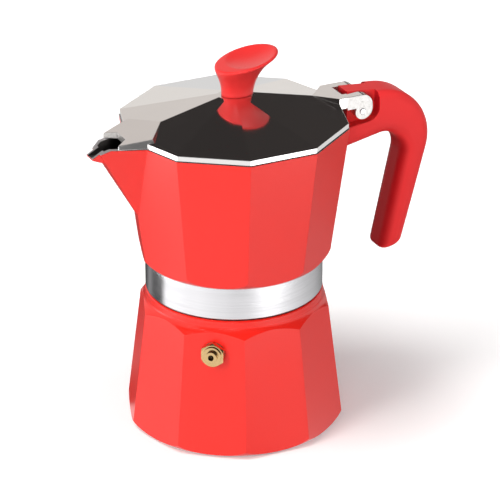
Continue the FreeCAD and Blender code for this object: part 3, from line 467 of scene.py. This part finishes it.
def loadSpring():
    # a copy of the coil, merged and smoothly shaded, hung on the lower body in place of the part
    source = nodes[spring["node"]]
    coil = bpy.data.objects.new(spring["name"], source.data.copy())
    bpy.context.scene.collection.objects.link(coil)
    bpy.ops.object.select_all(action="DESELECT")
    coil.select_set(True)
    bpy.context.view_layer.objects.active = coil
    bpy.ops.object.mode_set(mode="EDIT")
    bpy.ops.mesh.select_all(action="SELECT")
    bpy.ops.mesh.remove_doubles(threshold=spring["merge"])
    bpy.ops.object.mode_set(mode="OBJECT")
    bpy.ops.object.shade_smooth_by_angle(angle=math.radians(spring["smooth"]))
    joint = next(joint for joint in frame["joints"] if joint["name"] == spring["joint"])
    axis = Vector(joint["axis"])
    along = sorted(coil.data.vertices, key=lambda vertex: vertex.co.dot(axis))
    outer = along[-1].co.copy()
    length = (outer - along[0].co).dot(axis)
    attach(coil, spring["body"])
    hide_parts(spring["node"])
    1.0 - joint["range_m"][1] / length
    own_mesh(coil)


loadSpring()
print("spring of the valve")

seals = {
    "rough": 0.62,
    "edge": 0.0003,
    "cloud": {"scale": 220.0, "detail": 4.0},
    "fine": {"scale": 3000.0, "detail": 2.0, "rough": 0.2, "depth": 0.00003},
    "kinds": {
        "sealRubber": {
            "nodes": ["gasket"],
            "pale": (0.74, 0.71, 0.66, 1),
            "shade": (0.60, 0.57, 0.52, 1),
        },
        "fibreRing": {
            "nodes": ["valve_washer"],
            "pale": (0.34, 0.11, 0.06, 1),
            "shade": (0.22, 0.07, 0.04, 1),
        },
    },
}


def sealFinish(name, look):
    # matt and evenly clouded
    material, tree, place = newFinish(name)
    cloud = grain(tree, place, seals["cloud"])
    fine = grain(tree, place, seals["fine"])
    links = {
        "Base Color": blendColour(tree, cloud, look["shade"], look["pale"]),
        "Roughness": seals["rough"] + (fine - 0.5) * seals["fine"]["rough"],
    }
    closeFinish(tree, links, seals["edge"], [(fine, seals["fine"]["depth"])])
    return material


for name, look in seals["kinds"].items():
    dress(look["nodes"], sealFinish(name, look))
print("seals")


def rayKinds(tree):
    # camera rays, and the rays of mirrors and glass that no matt surface has spread before
    path = addNode(tree, "ShaderNodeLightPath")
    outputs = path.socket.node.outputs
    camera = Wire(tree, outputs["Is Camera Ray"])
    mirror = Wire(tree, outputs["Is Glossy Ray"]) + Wire(tree, outputs["Is Transmission Ray"])
    spread = Wire(tree, outputs["Diffuse Depth"])
    return camera, mirror.least(1.0) * (1.0 - spread.least(1.0))


def bearing(x, y):
    # degrees round the pot, from 0 to 360
    angle = y.turn(x) * perRadian
    return angle + 360.0 * angle.below(0.0)


sweep = {
    "size": 8.0,
    "paint": (0.96, 0.955, 0.955, 1),
    "bounce": (0.48, 0.47, 0.46, 1),
    # camera-only glow, dimmer near the pot and brighter further out: painted light that fades the
    # cast shadow sooner
    "nearGlow": (0.205, 0.212, 0.218, 1),
    "midGlow": (0.425, 0.432, 0.438, 1),
    "farGlow": (0.90, 0.90, 0.905, 1),
    "mid": (0.06, 0.13),
    "far": (0.18, 0.70),
    "cardEdge": (-0.001, 0.045),
}

# pale and dark cards round the pot that its gloss shows: from how far out, then bearing and grey
cards = [
    (0.0, [
        (0, 0.52), (12, 0.40), (60, 0.08), (102, 0.08), (115, 0.32), (128, 0.12), (147, 0.09),
        (154, 1.20), (203, 1.17), (245, 0.91), (262, 0.93), (279, 1.25), (293, 1.25), (305, 1.00),
        (330, 0.76), (345, 0.62), (360, 0.52),
    ]),
    (0.225, [
        (0, 0.05), (115, 0.05), (130, 0.60), (142, 2.60), (154, 3.60), (172, 3.20), (186, 1.50),
        (220, 1.00), (245, 0.95), (267, 1.10), (283, 3.20), (303, 3.20), (320, 0.60), (338, 0.05),
        (360, 0.05),
    ]),
    (0.280, [
        (0, 0.80), (30, 0.60), (50, 0.72), (95, 0.72), (115, 0.45), (130, 0.60), (142, 2.60),
        (154, 3.60), (172, 3.20), (186, 1.50), (220, 1.00), (236, 0.95), (244, 0.15), (258, 0.15),
        (267, 1.10), (283, 3.00), (303, 3.00), (330, 0.90), (360, 0.80),
    ]),
    (0.420, [
        (0, 0.80), (30, 0.60), (50, 0.72), (95, 0.72), (115, 0.45), (130, 0.60), (142, 1.00),
        (186, 1.00), (236, 0.95), (267, 1.00), (300, 1.00), (330, 0.90), (360, 0.80),
    ]),
]


def layFloor():
    # the camera sees a pale sweep, gloss sees the cards, and other light finds a grey floor
    bpy.ops.object.select_all(action="DESELECT")
    bpy.ops.mesh.primitive_plane_add(size=sweep["size"], location=(0, 0, 0))
    floor = bpy.context.object
    floor.name = "floor"
    material, tree, place = newFinish("paleFloor")
    x, y = split(tree, place)[:2]
    radius = x.hypot(y)
    around = bearing(x, y) / 360.0
    brightest = max(grey for start, row in cards for angle, grey in row)
    shown = black
    for start, row in cards:
        stops = [(angle / 360.0, [grey / brightest] * 3 + [1]) for angle, grey in row]
        shade = addNode(tree, "ShaderNodeValToRGB", {"stops": stops}, {"Fac": around})
        inner, outer = (start + edge for edge in sweep["cardEdge"])
        shown = blendColour(tree, radius.rise(inner, outer), shown, shade)
    camera, mirror = rayKinds(tree)
    # painted light: the floor's glow rises away from the pot and lightens the outer part of the
    # shadow
    pale = blendColour(tree, radius.rise(*sweep["mid"]), sweep["nearGlow"], sweep["midGlow"])
    pale = blendColour(tree, radius.rise(*sweep["far"]), pale, sweep["farGlow"])
    paint = blendColour(tree, camera, sweep["bounce"], sweep["paint"])
    glow = blendColour(tree, camera, black, pale)
    matt = {"Roughness": 1.0, "Specular IOR Level": 0.0}
    lit = addNode(tree, "ShaderNodeBsdfPrincipled", None, {
        **matt, "Base Color": paint, "Emission Color": glow, "Emission Strength": 1.0})
    mirrored = addNode(tree, "ShaderNodeBsdfPrincipled", None, {
        **matt, "Base Color": black, "Emission Color": shown, "Emission Strength": brightest})
    surface = addNode(tree, "ShaderNodeMixShader", None, {0: mirror, 1: lit, 2: mirrored})
    addNode(tree, "ShaderNodeOutputMaterial", None, {"Surface": surface})
    floor.data.materials.append(material)


layFloor()
print("floor")

# angles in degrees: a bearing round the pot, or a height over the level
room = {
    "pale": (0.80, 0.77, 0.74, 1),
    "paleTop": (0.64, 0.59, 0.56, 1),
    "paleFade": (4.0, 34.0),
    "dark": (0.034, 0.030, 0.029, 1),
    "darkRight": (0.050, 0.043, 0.041, 1),
    "darkTurn": (30.0, 62.0),
    "overhead": (0.50, 0.49, 0.48, 1),
    "overheadFrom": (70.0, 80.0),
    "horizon": 9.0,
    "horizonSoft": (-1.5, 1.5),
    "screen": 25.0,
    "screenStart": (56.0, 63.0),
    "screenEnd": (180.0, 200.0),
    "frontDrop": 8.0,
    "dropStart": (190.0, 205.0),
    "dropEnd": (285.0, 300.0),
    "ceiling": 0.10,
    "wall": 0.37,
    "wallTop": (25.0, 50.0),
    "frontWall": 0.19,
    "frontTurn": -70.0,
    "frontSpread": (-0.2, 0.8),
    "fillGreen": 0.99,
    "fillBlue": 0.97,
}


def lightRoom():
    world = bpy.data.worlds.new("studioRoom")
    bpy.context.scene.world = world
    world.use_nodes = True
    tree = world.node_tree
    tree.nodes.clear()
    x, y, z = split(tree, coordinates(tree, "Generated"))
    level = z.tilt() * perRadian
    around = bearing(x, y)

    # what gloss shows: a pale horizon, tall behind and low in front, dark above, a panel overhead
    tall = around.rise(*room["screenStart"]) * (1.0 - around.rise(*room["screenEnd"]))
    low = around.rise(*room["dropStart"]) * (1.0 - around.rise(*room["dropEnd"]))
    top = room["horizon"] + room["screen"] * tall - room["frontDrop"] * low
    bright = 1.0 - (level - top).rise(*room["horizonSoft"])
    pale = blendColour(tree, level.rise(*room["paleFade"]), room["pale"], room["paleTop"])
    dark = blendColour(tree, around.rise(*room["darkTurn"]), room["darkRight"], room["dark"])
    gloss = blendColour(tree, bright, dark, pale)
    gloss = blendColour(tree, level.rise(*room["overheadFrom"]), gloss, room["overhead"])

    # what lights the pot: pale walls, strongest in front, under a darker ceiling
    front = math.radians(room["frontTurn"])
    facing = x * math.cos(front) + y * math.sin(front)
    walls = 1.0 - level.rise(*room["wallTop"])
    gain = room["wall"] - room["ceiling"] + room["frontWall"] * facing.rise(*room["frontSpread"])
    fill = room["ceiling"] + walls * gain
    soft = addNode(tree, "ShaderNodeCombineColor", None, {
        0: fill, 1: fill * room["fillGreen"], 2: fill * room["fillBlue"]})

    camera, mirror = rayKinds(tree)
    seen = blendColour(tree, mirror, soft, gloss)
    seen = blendColour(tree, camera, seen, white)
    light = addNode(tree, "ShaderNodeBackground", None, {"Color": seen, "Strength": 1.0})
    addNode(tree, "ShaderNodeOutputWorld", None, {"Surface": light})


lightRoom()
print("room")


def standBack(thing, target, away, distance):
    # a lamp or camera, looking back at its target
    bpy.context.scene.collection.objects.link(thing)
    thing.location = target + away * distance
    thing.rotation_euler = (-away).to_track_quat("-Z", "Y").to_euler()


lamps = {
    "aim": (0.0, 0.0, 0.075),
    "colour": (1.0, 0.99, 0.975),
    "places": {
        "keyLamp": {"turn": 179.0, "tilt": 62.0, "away": 1.5, "wide": 0.70, "power": 12.0},
        "sideLamp": {"turn": 200.0, "tilt": 25.0, "away": 1.4, "wide": 0.60, "power": 7.4},
        "frontLamp": {"turn": 240.0, "tilt": 7.0, "away": 1.6, "wide": 0.70, "power": 10.2},
        "rightLamp": {"turn": 343.0, "tilt": 12.0, "away": 1.6, "wide": 0.70, "power": 5.8},
    },
}


def hangLamp(name, look):
    data = bpy.data.lights.new(name, "AREA")
    data.shape = "DISK"
    data.size = look["wide"]
    data.energy = look["power"]
    data.color = lamps["colour"]
    lamp = bpy.data.objects.new(name, data)
    lamp.visible_glossy = False    # gloss shows the cards and the room instead
    turn = math.radians(look["turn"])
    tilt = math.radians(look["tilt"])
    flat = math.cos(tilt)
    away = Vector((math.cos(turn) * flat, math.sin(turn) * flat, math.sin(tilt)))
    standBack(lamp, Vector(lamps["aim"]), away, look["away"])


for name, look in lamps["places"].items():
    hangLamp(name, look)
print("lamps")

view = {
    "azimuth": -26.47,
    "elevation": 25.05,
    "distance": 1.0921,
    "across": 0.00682,
    "level": 0.07523,
    "focalPixels": 2586.0,
    "framePixels": 500.0,
    "sensor": 36.0,
    "nearest": 0.05,
    "farthest": 20.0,
}


def setCamera():
    turn = math.radians(view["azimuth"])
    tilt = math.radians(view["elevation"])
    flat = math.cos(tilt)
    right = Vector((math.cos(turn), math.sin(turn), 0))
    away = Vector((math.sin(turn) * flat, -math.cos(turn) * flat, math.sin(tilt)))
    target = right * view["across"] + Vector((0, 0, view["level"]))
    data = bpy.data.cameras.new("photoCamera")
    data.sensor_width = view["sensor"]
    data.lens = view["sensor"] * view["focalPixels"] / view["framePixels"]
    data.clip_start = view["nearest"]
    data.clip_end = view["farthest"]
    camera = bpy.data.objects.new("photoCamera", data)
    standBack(camera, target, away, view["distance"])
    bpy.context.scene.camera = camera


setCamera()
bpy.context.scene.view_settings.view_transform = "Standard"
print("camera set")
